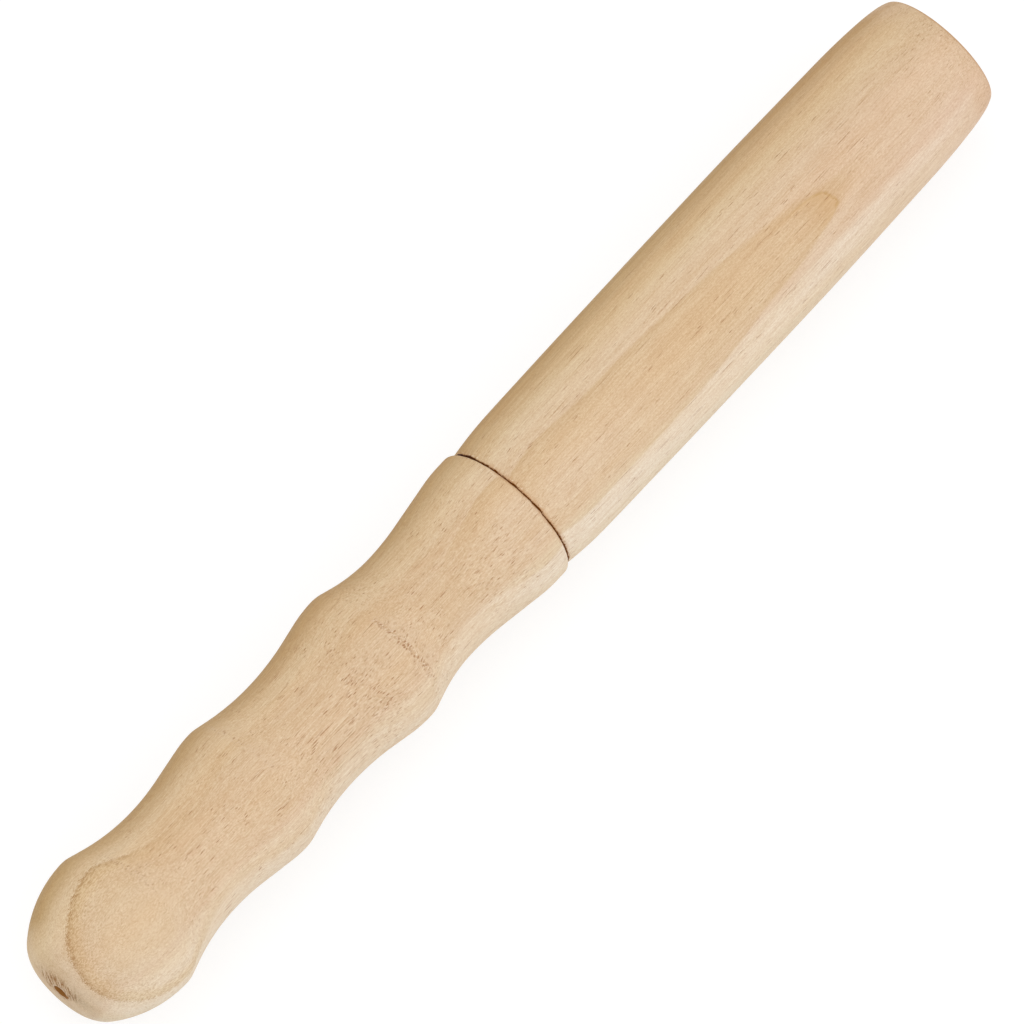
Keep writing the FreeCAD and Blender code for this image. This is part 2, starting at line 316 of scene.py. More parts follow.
def meetings(centre_a, radius_a, centre_b, radius_b):
    """The two points where two circles cross."""
    apart = math.dist(centre_a, centre_b)
    unit = ((centre_b[0] - centre_a[0]) / apart, (centre_b[1] - centre_a[1]) / apart)
    along = (radius_a ** 2 - radius_b ** 2 + apart ** 2) / (2 * apart)
    across = math.sqrt(radius_a ** 2 - along ** 2)
    return [(centre_a[0] + unit[0] * along - unit[1] * side,
             centre_a[1] + unit[1] * along + unit[0] * side) for side in (across, -across)]


def angle_of(centre, point):
    return math.atan2(point[0] - centre[0], point[1] - centre[1])


def flank(crest_at, crest_diameter, crest_radius, waist_at, waist_diameter, share_used, spacing):
    """Arc, straight run and arc between a crest and a waist, level at both."""
    run = abs(waist_at - crest_at)
    rise = (crest_diameter - waist_diameter) / 2
    radii = share_used * (run ** 2 + rise ** 2) / (2 * rise)
    straight = math.sqrt(run ** 2 + (radii - rise) ** 2 - radii ** 2)
    steepness = math.atan2(run, radii - rise) - math.atan2(straight, radii)
    lean = math.copysign(steepness, waist_at - crest_at)
    waist_radius = radii - crest_radius
    crest = arc_points((crest_at, crest_diameter / 2 - crest_radius), crest_radius,
                       0.0, lean, spacing)
    waist = arc_points((waist_at, waist_diameter / 2 + waist_radius), waist_radius,
                       math.pi + lean, math.pi, spacing)
    outline = joined(crest, run_points(crest[-1], waist[0], spacing), waist)
    return outline if waist_at > crest_at else outline[::-1]


def dome(grip, spacing):
    """Pit of the lathe's centre, cap, knuckle and side of the butt."""
    cap_centre = (grip.cap_radius, 0.0)
    side_centre = (grip.butt_at, grip.butt_diameter / 2 - grip.side_radius)
    knuckle_centre = max(meetings(cap_centre, grip.cap_radius - grip.knuckle_radius,
                                  side_centre, grip.side_radius - grip.knuckle_radius),
                         key=lambda point: point[1])
    pit_radius = grip.pit_diameter / 2
    rim_angle = -math.acos(pit_radius / grip.cap_radius)
    cap_end = angle_of(cap_centre, knuckle_centre)
    side_start = angle_of(side_centre, knuckle_centre)
    fine = spacing / 3
    cap = arc_points(cap_centre, grip.cap_radius, rim_angle, cap_end, fine)
    pit_depth = pit_radius / math.tan(grip.pit_angle / 2)
    return joined(run_points((cap[0][0] + pit_depth, 0.0), cap[0], fine), cap,
                  arc_points(knuckle_centre, grip.knuckle_radius, cap_end, side_start, fine),
                  arc_points(side_centre, grip.side_radius, side_start, 0.0, spacing))


def score_bottom(grip, joint):
    return (grip.length, joint.rim_diameter / 2 - joint.score_depth)


def shoulder(grip, joint, spacing):
    """Level shoulder, its rounded edge and the near wall of the scored line."""
    top = grip.shoulder_diameter / 2
    radius = grip.shoulder_edge_radius
    lean = math.acos(1 - (top - joint.rim_diameter / 2) / radius)
    edge_at = grip.length - joint.score_width / 2 - radius * math.sin(lean)
    edge = arc_points((edge_at, top - radius), radius, 0.0, lean, spacing / 6)
    return joined(run_points((grip.shoulder_at, top), edge[0], spacing), edge,
                  run_points(edge[-1], score_bottom(grip, joint), spacing / 6))


def grip_outline(grip, joint, spacing):
    """Half outline of the grip, from the floor of its centre pit to the floor of its socket."""
    bore = joint.tenon_diameter / 2 + joint.tenon_clearance
    mouth = (grip.length, bore + joint.socket_lead_in)
    throat = (grip.length - joint.socket_lead_in, bore)
    floor_at = grip.length - joint.tenon_length - joint.socket_end_gap
    coarse = spacing * 8
    return joined(
        dome(grip, spacing),
        flank(grip.butt_at, grip.butt_diameter, grip.butt_fore_radius,
              grip.waist_1_at, grip.waist_1_diameter, grip.fall_share, spacing),
        flank(grip.swell_2_at, grip.swell_2_diameter, grip.swell_2_aft_radius,
              grip.waist_1_at, grip.waist_1_diameter, grip.rise_1_share, spacing),
        flank(grip.swell_2_at, grip.swell_2_diameter, grip.swell_2_fore_radius,
              grip.waist_2_at, grip.waist_2_diameter, grip.fall_share, spacing),
        flank(grip.swell_3_at, grip.swell_3_diameter, grip.swell_3_aft_radius,
              grip.waist_2_at, grip.waist_2_diameter, grip.rise_2_share, spacing),
        flank(grip.swell_3_at, grip.swell_3_diameter, grip.swell_3_fore_radius,
              grip.waist_3_at, grip.waist_3_diameter, grip.fall_share, spacing),
        flank(grip.shoulder_at, grip.shoulder_diameter, grip.shoulder_aft_radius,
              grip.waist_3_at, grip.waist_3_diameter, grip.rise_3_share, spacing),
        shoulder(grip, joint, spacing),
        run_points(score_bottom(grip, joint), mouth, coarse),
        [throat, (floor_at, bore), (floor_at, 0.0)])


def head_outline(grip, head, joint, spacing):
    """Half outline of the head, from the end of its tenon to the middle of its flat tip."""
    tenon_end = grip.length - joint.tenon_length
    tenon = joint.tenon_diameter / 2
    lip = (grip.length + joint.score_width / 2, joint.rim_diameter / 2)
    belly = (grip.length + head.belly_on, head.belly_diameter / 2)
    belly_centre = (belly[0], belly[1] - head.belly_aft_radius)
    foot_centre = max(meetings(lip, head.foot_radius,
                               belly_centre, head.belly_aft_radius - head.foot_radius))
    foot_end = angle_of(belly_centre, foot_centre)
    bends = [(head.nose_radius, head.nose_angle), (head.roll_radius, head.roll_angle),
             (head.brow_radius, head.brow_angle), (head.edge_radius, math.pi / 2)]
    nose_length = 0.0
    start = head.taper_angle
    for radius, end in bends:
        nose_length += radius * (math.sin(end) - math.sin(start))
        start = end
    swell = arc_points((belly[0], belly[1] - head.belly_fore_radius), head.belly_fore_radius,
                       0.0, head.taper_angle, spacing)
    taper = grip.length + head.length - nose_length - swell[-1][0]
    point = (swell[-1][0] + taper, swell[-1][1] - taper * math.tan(head.taper_angle))
    nose = [run_points(swell[-1], point, spacing)]
    start = head.taper_angle
    for radius, end in bends:
        centre = (point[0] - radius * math.sin(start), point[1] - radius * math.cos(start))
        nose.append(arc_points(centre, radius, start, end, spacing / 2))
        point = nose[-1][-1]
        start = end
    return joined(
        [(tenon_end, 0.0), (tenon_end, tenon - joint.tenon_chamfer),
         (tenon_end + joint.tenon_chamfer, tenon), (grip.length, tenon)],
        run_points((grip.length, tenon), score_bottom(grip, joint), spacing * 8),
        run_points(score_bottom(grip, joint), lip, spacing / 6),
        arc_points(foot_centre, head.foot_radius, angle_of(foot_centre, lip), foot_end, spacing),
        arc_points(belly_centre, head.belly_aft_radius, foot_end, 0.0, spacing),
        swell, *nose, run_points(point, (point[0], 0.0), spacing * 2))


def node(tree, kind, settings=None, **inputs):
    """Adds a node, sets its properties, and gives its inputs their values or links."""
    made = tree.nodes.new(kind)
    for key, value in (settings or {}).items():
        setattr(made, key, value)
    for key, value in inputs.items():
        feed(tree, made, key, value)
    return made


def feed(tree, made, key, value):
    """Sets or links one input. Keys in_0, in_1 name it by place, others by name."""
    if key.startswith("in_"):
        socket = made.inputs[int(key[3:])]
    else:
        socket = made.inputs[key.replace("_", " ")]
    if isinstance(value, Field):
        tree.links.new(value.socket, socket)
    else:
        socket.default_value = value


class Field:
    """An output of a node. Sums and products of fields add math nodes to their tree."""

    def __init__(self, socket):
        self.socket = socket
        self.tree = socket.id_data

    def __add__(self, other):
        return math_node("ADD", self, other)

    def __sub__(self, other):
        return math_node("SUBTRACT", self, other)

    def __mul__(self, other):
        return math_node("MULTIPLY", self, other)

    def __truediv__(self, other):
        return math_node("DIVIDE", self, other)

    def __rtruediv__(self, other):
        return math_node("DIVIDE", other, self)

    def __pow__(self, other):
        return math_node("POWER", self, other)

    def __abs__(self):
        return math_node("ABSOLUTE", self)

    def ramp(self, low, high, to_low=0.0, to_high=1.0, kind="SMOOTHSTEP"):
        """Goes from to_low, where the field is low, to to_high, where it is high."""
        return output(self.tree, "ShaderNodeMapRange", {"interpolation_type": kind},
                      Value=self, From_Min=low, From_Max=high, To_Min=to_low, To_Max=to_high)

    def dot(self, way):
        """How far a vector reaches along a way."""
        return output(self.tree, "ShaderNodeVectorMath", {"operation": "DOT_PRODUCT"}, "Value",
                      in_0=self, in_1=way)


def output(tree, kind, settings=None, which=0, **inputs):
    """Adds a node and gives the output of that place or name."""
    return Field(node(tree, kind, settings, **inputs).outputs[which])


def fields(made):
    """All outputs of a node by name."""
    return {socket.name: Field(socket) for socket in made.outputs}


def math_node(operation, first, second=0.0, clamp=False):
    """Math on two fields, or on a field and a number."""
    tree = (first if isinstance(first, Field) else second).tree
    return output(tree, "ShaderNodeMath", {"operation": operation, "use_clamp": clamp},
                  in_0=first, in_1=second)


def largest(first, *others):
    for other in others:
        first = math_node("MAXIMUM", first, other)
    return first


def vector(tree, x, y, z):
    return output(tree, "ShaderNodeCombineXYZ", X=x, Y=y, Z=z)


def parts(place):
    """X, Y and Z of a vector."""
    return list(fields(node(place.tree, "ShaderNodeSeparateXYZ", Vector=place)).values())


def noise(place, scale, detail=2.0, roughness=0.5):
    return output(place.tree, "ShaderNodeTexNoise", Vector=place, Scale=scale, Detail=detail,
                  Roughness=roughness)


# Sanded roundness: waves a metre along the axis, and the radii where it fades in off the tenon.
SANDING_WAVES = 45.0
SANDED_FROM = 8.0 * MM
SANDED_PAST = 12.0 * MM
# Where round the mallet the ends of the scored line pass each other.
JOG_SHARE = 0.655
# Torn fibres round the pit: waves a metre outwards and in a turn, and where the butt ends them.
FAN_WAVES = 160.0
FAN_TURN_WAVES = 5.0
WRINKLE_FROM = 1.2 * MM
WRINKLE_PAST = 1.6 * MM
# Points nearer than this are welded, and edges sharper than this stay sharp.
WELD = 0.002 * MM
CREASE = math.radians(32)


def turned_tree():
    """Node tree that turns a half outline about the X axis into a closed wooden piece."""
    tree = bpy.data.node_groups.new("Turned Piece", "GeometryNodeTree")
    face = tree.interface
    face.new_socket("Geometry", in_out="INPUT", socket_type="NodeSocketGeometry")
    for name, kind in (("Segments", "Int"), ("Axis Height", "Float"), ("Wobble", "Float"),
                       ("Joint At", "Float"), ("Score Wander", "Float"), ("Score Jog", "Float"),
                       ("Wander Reach", "Float"), ("Pit At", "Float"), ("Pit Radius", "Float"),
                       ("Wrinkle Depth", "Float"), ("Wrinkle Reach", "Float"),
                       ("Material", "Material")):
        face.new_socket(name, in_out="INPUT", socket_type="NodeSocket" + kind)
    face.new_socket("Geometry", in_out="OUTPUT", socket_type="NodeSocketGeometry")
    given = fields(node(tree, "NodeGroupInput"))
    stations = output(tree, "GeometryNodeAttributeDomainSize", {"component": "MESH"},
                      "Point Count", Geometry=given["Geometry"])
    around = given["Segments"] + 1.0
    sheet = output(tree, "GeometryNodeMeshGrid", None, "Mesh", Size_X=1.0, Size_Y=1.0,
                   Vertices_X=stations, Vertices_Y=around)
    index = output(tree, "GeometryNodeInputIndex")
    station = math_node("FLOOR", index / around)
    angle = (index - station * around) / given["Segments"] * math.tau
    along, _, radius = parts(output(
        tree, "GeometryNodeSampleIndex", {"data_type": "FLOAT_VECTOR"}, "Value", Index=station,
        Geometry=given["Geometry"], Value=output(tree, "GeometryNodeInputPosition")))
    cosine = math_node("COSINE", angle)
    sine = math_node("SINE", angle)
    # Hand sanding leaves the wood a little out of round, always inside the turned outline.
    stray = noise(vector(tree, along * SANDING_WAVES, cosine, sine), 1.1, 1.5) * given["Wobble"]
    radius_out = radius - stray * radius.ramp(SANDED_FROM, SANDED_PAST)
    # The scored line strays, and jogs where its two ends pass each other.
    drift = (noise(vector(tree, 0.0, cosine, sine), 2.6, 3.0, 0.7) - 0.5) * given["Score Wander"]
    jog = (math_node("FRACT", angle / math.tau + JOG_SHARE) - 0.5) * given["Score Jog"]
    from_score = along - given["Joint At"]
    shift = (drift + jog) * abs(from_score).ramp(0.0, given["Wander Reach"], 1.0, 0.0)
    # Torn fibres fan out from the pit.
    fan = vector(tree, radius * FAN_WAVES, cosine * FAN_TURN_WAVES, sine * FAN_TURN_WAVES)
    tear = noise(fan, 1.6, 3.0, 0.6).ramp(0.4, 0.7) * radius.ramp(
        given["Pit Radius"], given["Wrinkle Reach"], 1.0, 0.0)
    tear = tear * ((along - given["Pit At"]).ramp(WRINKLE_FROM, WRINKLE_PAST, 1.0, 0.0)
                   * given["Wrinkle Depth"])
    turned = vector(tree, along + (shift + tear), radius_out * cosine,
                    radius_out * sine + given["Axis Height"])
    body = output(tree, "GeometryNodeStoreNamedAttribute",
                  {"data_type": "FLOAT", "domain": "POINT"}, Geometry=sheet, Name="from_score",
                  Value=from_score)
    body = output(tree, "GeometryNodeSetPosition", Geometry=body, Position=turned)
    body = output(tree, "GeometryNodeMergeByDistance", Geometry=body, Distance=WELD)
    body = output(tree, "GeometryNodeSetShadeSmooth", {"domain": "FACE"}, Geometry=body)
    crease = output(tree, "FunctionNodeCompare", {"data_type": "FLOAT"},
                    in_0=output(tree, "GeometryNodeInputMeshEdgeAngle"), in_1=CREASE)
    body = output(tree, "GeometryNodeSetShadeSmooth", {"domain": "EDGE"}, Geometry=body,
                  Selection=crease, Shade_Smooth=False)
    body = output(tree, "GeometryNodeRealizeInstances", Geometry=body)
    body = output(tree, "GeometryNodeSetMaterial", Geometry=body, Material=given["Material"])
    node(tree, "NodeGroupOutput", Geometry=body)
    return tree


def turned_piece(name, outline, values):
    """Plain mesh of a piece turned from its half outline, with its faces pointing outwards."""
    tree = bpy.data.node_groups.get("Turned Piece") or turned_tree()
    mesh = bpy.data.meshes.new(name + "_outline")
    mesh.from_pydata([(x, 0.0, radius) for x, radius in outline],
                     [(i, i + 1) for i in range(len(outline) - 1)], [])
    blank = bpy.data.objects.new(name + "_outline", mesh)
    bpy.context.collection.objects.link(blank)
    modifier = blank.modifiers.new("Turned Piece", "NODES")
    modifier.node_group = tree
    for item in tree.interface.items_tree:
        if item.in_out == "INPUT" and item.name in values:
            modifier[item.identifier] = values[item.name]
    graph = bpy.context.evaluated_depsgraph_get()
    turned = bpy.data.meshes.new_from_object(blank.evaluated_get(graph), depsgraph=graph)
    blank.modifiers.clear()
    bpy.data.objects.remove(blank)
    turned.name = name
    if signed_volume(turned) < 0:
        turned.flip_normals()
    piece = bpy.data.objects.new(name, turned)
    bpy.context.collection.objects.link(piece)
    return piece


def signed_volume(mesh):
    """Volume of a closed mesh, negative where its faces point inwards."""
    mesh.calc_loop_triangles()
    points = [v.co for v in mesh.vertices]
    return sum(points[t.vertices[0]].dot(points[t.vertices[1]].cross(points[t.vertices[2]]))
               for t in mesh.loop_triangles) / 6


def turning_values(scene, material):
    grip, joint, finish = scene.mallet_grip, scene.mallet_joint, scene.mallet_finish
    return {"Segments": finish.segments, "Axis Height": axis_height(scene),
            "Wobble": finish.wobble, "Joint At": joint_at(scene),
            "Score Wander": joint.score_wander, "Score Jog": joint.score_jog,
            "Wander Reach": joint.wander_reach, "Pit At": butt_at(scene),
            "Pit Radius": grip.pit_diameter / 2, "Wrinkle Depth": grip.wrinkle_depth,
            "Wrinkle Reach": grip.wrinkle_reach, "Material": material}


def axis_height(scene):
    return max(scene.mallet_grip.butt_diameter, scene.mallet_head.belly_diameter) / 2


def butt_at(scene):
    """Where the apex of the butt lies on X, with the origin under the middle of the mallet."""
    return -(scene.mallet_grip.length + scene.mallet_head.length) / 2


def joint_at(scene):
    return butt_at(scene) + scene.mallet_grip.length


def placed(scene, outline):
    return [(x + butt_at(scene), radius) for x, radius in outline]


# Sides of the billet, seen along its axis: the face towards the camera, and the side towards the
# key lamp, which carries a painted sheen.
FACE = Vector((0.0, -0.257, 0.967))
PAINTED_SHEEN_SIDE = Vector((0.0, -0.967, -0.257))
# Tones of the wood from the side away from the key lamp to the side towards it, as shares of its
# radius: painted shade on the far side, partly also a darker heartwood streak, and a painted sheen
# on the near side.
SIDE_SHADE_AND_SHEEN_SHARES = [
    (0.00, (0.840, 0.780, 0.625)), (0.03, (0.898, 0.852, 0.730)), (0.065, (0.939, 0.918, 0.848)),
    (0.10, (0.983, 0.972, 0.925)), (0.19, (1.022, 1.030, 1.012)), (0.32, (0.998, 0.995, 0.980)),
    (0.50, (0.998, 1.000, 1.000)), (0.68, (0.995, 1.002, 1.008)), (0.76, (0.994, 1.006, 1.022)),
    (0.80, (1.000, 1.015, 1.045)), (0.85, (1.030, 1.075, 1.130)), (0.97, (1.040, 1.090, 1.150))]
# Way from the pit in which its torn strokes run, and the way across them.
FACE_SHARE = 0.85
SHEEN_SIDE_SHARE = 0.53
BRUISE_WAY = (FACE * FACE_SHARE - PAINTED_SHEEN_SIDE * SHEEN_SIDE_SHARE).normalized()
BRUISE_ACROSS = (FACE * SHEEN_SIDE_SHARE + PAINTED_SHEEN_SIDE * FACE_SHARE).normalized()
# Tones by distance from the pith. The flame's edge and the ring on the butt are thin dark lines.
TIP_RADIUS = 11.9 * MM
BUTT_RING = 54.25 * MM
RING_LOW = 26.0 * MM
RING_HIGH = 61.0 * MM
RING_TONE_SHARES = [
    (27.0, (0.990, 0.980, 0.965)), (30.0, (1.010, 1.010, 1.010)), (33.0, (0.985, 0.970, 0.945)),
    (33.4, (1.012, 1.012, 1.015)), (37.5, (0.995, 0.985, 0.965)), (41.0, (1.010, 1.012, 1.020)),
    (43.6, (0.985, 0.970, 0.940)), (44.0, (1.008, 1.008, 1.010)), (48.0, (0.990, 0.978, 0.955)),
    (50.0, (0.995, 0.990, 0.975)), (52.3, (1.010, 1.013, 1.025)), (54.0, (1.012, 1.016, 1.030)),
    (54.2, (0.962, 0.938, 0.895)), (54.6, (0.985, 0.970, 0.940)),
    (55.4, (0.990, 0.973, 0.945)), (56.2, (1.003, 0.998, 1.000)), (58.0, (0.998, 0.992, 0.985)),
    (60.5, (0.990, 0.980, 0.965))]
# Tints, as shares of the tone under them.
WARM_SHARES = (0.984, 0.961, 0.949)
BUTT_SHARES = (1.005, 1.014, 1.022)
ROUGH_SHARES = (1.010, 1.024, 1.040)
TIP_SIDE_SHARES = (0.998, 0.975, 0.978)
GRIP_SHARES = (0.995, 0.987, 0.978)
PATCH_SHARES = (0.995, 0.980, 0.960)
LATE_WOOD_SHARES = (0.982, 0.974, 0.958)
STREAK_SHARES = (0.985, 0.979, 0.969)
PEAK_SHARES = (0.985, 0.966, 0.930)
PEAK_LINE_SHARES = (0.940, 0.908, 0.815)
PEAK_FLECK_SHARES = (1.040, 1.060, 1.060)
STRAND_SHARES = (0.944, 0.906, 0.873)
FIBRE_SHARES = (0.935, 0.897, 0.866)
SPECK_SHARES = (0.915, 0.872, 0.820)
RING_LINE_SHARES = (0.905, 0.860, 0.805)
RIPPLE_SHARES = (0.960, 0.950, 0.930)
TEAR_SHARES = (0.910, 0.860, 0.800)
# Painted shade: the scored line is darkened by this on the side away from the key lamp.
LINE_SHADE_SHARES = (0.52, 0.36, 0.22)
# Noises along the scored line, in waves a metre.
RAGGED_WAVES = 2200.0
BURNT_WAVES = 600.0
HALO_WAVES = 420.0
CHIP_WAVES = 1500.0
FLECK_WAVES = 1400.0


def group_tree(name, inputs, result):
    """Empty shader node group with a Place vector and float inputs, and one float output."""
    tree = bpy.data.node_groups.new(name, "ShaderNodeTree")
    tree.interface.new_socket("Place", in_out="INPUT", socket_type="NodeSocketVector")
    for socket in inputs:
        tree.interface.new_socket(socket, in_out="INPUT", socket_type="NodeSocketFloat")
    tree.interface.new_socket(result, in_out="OUTPUT", socket_type="NodeSocketFloat")
    return tree, fields(node(tree, "NodeGroupInput"))


def stretched(place, length, width):
    """Coordinates in which a grain feature of that length and width measures one."""
    across = 1.0 / width
    return output(place.tree, "ShaderNodeMapping", Vector=place,
                  Scale=vector(place.tree, 1.0 / length, across, across))


def pith_group():
    """Distance from the leaning pith line, with the slow waves of real growth rings."""
    tree, given = group_tree("Pith Distance", ["Lean Aside", "Lean Up", "Waves", "Wave Length",
                                               "Wave Width"], "Distance")
    x, y, z = parts(given["Place"])
    aside = y + x * given["Lean Aside"]
    above = z - x * given["Lean Up"]
    slow = stretched(given["Place"], given["Wave Length"], given["Wave Width"])
    node(tree, "NodeGroupOutput", Distance=math_node("SQRT", aside * aside + above * above)
         + (noise(slow, 1.0) - 0.5) * given["Waves"])
    return tree


def fibre_group():
    """Strands along the grain, which are specks where the end grain shows."""
    tree, given = group_tree("Fibres", ["Length", "Width", "Detail"], "Fibres")
    node(tree, "NodeGroupOutput", Fibres=noise(stretched(
        given["Place"], given["Length"], given["Width"]), 1.0, given["Detail"], 0.6))
    return tree


def pore_group():
    """Vessel lines: long thin cells along the grain, dots where it is cut across."""
    tree, given = group_tree("Pores", ["Length", "Width", "Crowd", "Dot"], "Pores")
    place, length, width = given["Place"], given["Length"], given["Width"]
    drift = noise(stretched(place, length * 4.0, width * 12.0), 1.0, 1.0)
    bent = output(tree, "ShaderNodeVectorMath", {"operation": "ADD"},
                  in_0=stretched(place, length, width), in_1=vector(tree, 0.0, drift * 6.0, 0.0))
    cells = fields(node(tree, "ShaderNodeTexVoronoi", {"feature": "F1"}, Vector=bent, Scale=1.0,
                        Randomness=1.0))
    chance = fields(node(tree, "ShaderNodeSeparateColor", Color=cells["Color"]))
    dot = cells["Distance"].ramp(given["Dot"] * 0.35, given["Dot"], 1.0, 0.0)
    kept = math_node("LESS_THAN", chance["Red"], given["Crowd"])
    depth = chance["Green"].ramp(0.0, 1.0, 0.15, 1.0, "LINEAR")
    node(tree, "NodeGroupOutput", Pores=dot * kept * depth)
    return tree


def shared(tree, name, build, **inputs):
    """Adds a shared group to a material, and builds the group the first time."""
    group = bpy.data.node_groups.get(name) or build()
    return output(tree, "ShaderNodeGroup", {"node_tree": group}, **inputs)


def linear(rgb):
    """Scene-linear colour with alpha from a display colour."""
    return tuple(c / 12.92 if c <= 0.04045 else ((c + 0.055) / 1.055) ** 2.4 for c in rgb) + (1.0,)


def blended(mask, under, over, kind="MIX"):
    return output(mask.tree, "ShaderNodeMix", {"data_type": "RGBA", "blend_type": kind}, 2,
                  in_0=mask, in_6=under, in_7=over)


def painted(base, *layers):
    """Lays colours over the wood, in order, each where its mask is."""
    for mask, rgb in layers:
        base = blended(mask, base, linear(rgb))
    return base


def tinted(base, *layers):
    """Multiplies the wood by tints, in order, each where its mask is."""
    for mask, rgb in layers:
        base = blended(mask, base, linear(rgb), "MULTIPLY")
    return base


def tone_ramp(amount, stops):
    """Colour ramp from shares of the middle tone."""
    ramp = node(amount.tree, "ShaderNodeValToRGB", Fac=amount)
    ramp.color_ramp.interpolation = "LINEAR"
    elements = ramp.color_ramp.elements
    for number, (where, tone) in enumerate(stops):
        stop = elements[number] if number < 2 else elements.new(where)
        stop.position = where
        stop.color = linear(tone)
    return Field(ramp.outputs["Color"])


class Billet:
    """The wood as one material sees it: its fibres, and masks for parts of the mallet."""

    def __init__(self, scene, tree):
        wood, grip = scene.mallet_wood, scene.mallet_grip
        self.tree, self.wood, self.grip = tree, wood, grip
        self.finish, self.joint = scene.mallet_finish, scene.mallet_joint
        self.butt, self.joint_at = butt_at(scene), joint_at(scene)
        self.tip = self.butt + grip.length + scene.mallet_head.length
        self.spot = output(tree, "ShaderNodeTexCoord", None, "Object")
        self.x = parts(self.spot)[0]
        self.from_pith = output(tree, "ShaderNodeMapping", Vector=self.spot,
                                Location=(0.0, -wood.pith_aside, -wood.pith_height))
        self.off_axis = output(tree, "ShaderNodeMapping", Vector=self.spot,
                               Scale=(0.0, 1.0, 1.0), Location=(0.0, 0.0, -axis_height(scene)))
        self.radius = output(tree, "ShaderNodeVectorMath", {"operation": "LENGTH"}, "Value",
                             in_0=self.off_axis)
        self.aside = self.off_axis.dot(PAINTED_SHEEN_SIDE)
        self.facing = self.off_axis.dot(FACE)
        self.side = self.aside / largest(self.radius, grip.waist_3_diameter / 2)
        self.short, self.strands, self.streaks, self.patches, self.ripples, self.crowds, \
            self.specks = (self.fibres(kind, detail) for kind, detail in (
                ("fibre", 1.0), ("strand", 1.5), ("streak", 2.0), ("patch", 2.0),
                ("ripple", 2.0), ("crowd", 2.0), ("speck", 2.0)))
        self.on_butt = self.x.ramp(self.butt + grip.butt_at * 0.8, self.butt + grip.waist_1_at,
                                   1.0, 0.0)
        self.on_head = self.x.ramp(self.butt + grip.waist_3_at, self.joint_at)
        self.on_tip = self.x.ramp(self.tip - wood.tip_reach, self.tip)
        rough = largest(*(abs(self.x - (self.butt + where)).ramp(
            wood.rough_reach * 0.3, wood.rough_reach, most, 0.0) for where, most in (
                (wood.rough_at, 1.0), (wood.rough_shoulder_at, 0.25))))
        self.rough = rough * self.side.ramp(-0.2, 0.15) * self.side.ramp(0.6, 0.9, 1.0, 0.0)
        rings = shared(tree, "Pith Distance", pith_group, Place=self.from_pith,
                       Lean_Aside=wood.lean_aside, Lean_Up=wood.lean_up, Waves=wood.ring_waves,
                       Wave_Length=wood.wave_length, Wave_Width=wood.wave_width)
        self.rings = rings + (self.short - 0.5) * self.on_butt * wood.ring_fray

    def fibres(self, kind, detail):
        """Fibres of the length and width that the wood has for that kind."""
        return shared(self.tree, "Fibres", fibre_group, Place=self.from_pith, Detail=detail,
                      Length=getattr(self.wood, kind + "_length"),
                      Width=getattr(self.wood, kind + "_width"))

    def cells(self, length, width, dot, crowd):
        """Vessels or torn fibres of that spacing along and across the grain."""
        return shared(self.tree, "Pores", pore_group, Place=self.from_pith, Length=length,
                      Width=width, Dot=dot, Crowd=crowd)

    def slow_tones(self):
        """Painted shade and painted sheen across the sides of the billet, its growth rings, and
        warmer patches.
        """
        wood, x, side, tip = self.wood, self.x, self.side, self.tip
        tip_edge = x.ramp(tip - wood.tip_reach / 3, tip)
        warm = x.ramp(tip - wood.warm_reach, tip - wood.warm_from) * abs(side + 0.5).ramp(
            0.15, 0.45, 0.45, 1.0)
        ring_strength = largest(self.on_butt, self.on_head).ramp(
            0.0, 1.0, wood.faint_rings, 1.0, "LINEAR")
        stops = [((distance * MM - RING_LOW) / (RING_HIGH - RING_LOW), tone)
                 for distance, tone in RING_TONE_SHARES]
        # Painted shade on the side away from the key lamp and painted sheen on the side towards
        # it, weaker near the flat tip.
        base = blended(tip_edge.ramp(0.2, 0.9, 1.0, 0.45), linear(self.finish.wood), tone_ramp(
            side.ramp(-1.0, 1.0, kind="LINEAR"), SIDE_SHADE_AND_SHEEN_SHARES), "MULTIPLY")
        base = blended(ring_strength, base, tone_ramp(
            self.rings.ramp(RING_LOW, RING_HIGH, kind="LINEAR"), stops), "MULTIPLY")
        season = math_node("FRACT", self.rings / wood.ring_width)
        return tinted(
            base, (warm, WARM_SHARES), (self.on_butt, BUTT_SHARES), (self.rough, ROUGH_SHARES),
            (self.on_tip * side.ramp(0.2, 0.9), TIP_SIDE_SHARES),
            (x.ramp(self.butt + self.grip.waist_3_at, self.joint_at, 1.0, 0.0), GRIP_SHARES),
            (self.patches.ramp(0.38, 0.66), PATCH_SHARES),
            (season.ramp(0.55, 1.0, 0.0, 0.5), LATE_WOOD_SHARES),
            (self.streaks.ramp(0.35, 0.68), STREAK_SHARES))

    def flame_peak(self, base):
        """Peak of the flame on the head: a thin dark edge with a yellower inside."""
        wood = self.wood
        line, drop = wood.peak_line, wood.peak_drop
        across = self.aside - wood.peak_aside
        side = across / wood.peak_reach
        edge = across * wood.peak_skew + abs(side) ** 4.0 * -drop
        past = self.x - (edge + (self.tip - wood.peak_from_tip))
        past = past + (self.short - 0.5) * (line * 5)
        steep = abs(side) ** 3.0 * 9.0 + 1.0
        in_front = self.facing.ramp(0.0, wood.peak_reach)
        at_edge = (abs(past) / steep).ramp(line / 3, line, 1.0, 0.0) * self.strands.ramp(
            0.35, 0.6, 0.5, 1.0) * side.ramp(-1.05, -0.5) * side.ramp(
                0.45, 0.8, 1.0, 0.0) * in_front
        inside = past.ramp(-drop, 0.0) * past.ramp(-line, line, 1.0, 0.0) * abs(side).ramp(
            0.7, 1.1, 1.0, 0.0) * in_front
        flecks = inside * past.ramp(-drop / 2, -line) * self.short.ramp(0.48, 0.62)
        return tinted(base, (inside, PEAK_SHARES), (at_edge, PEAK_LINE_SHARES),
                      (flecks, PEAK_FLECK_SHARES))

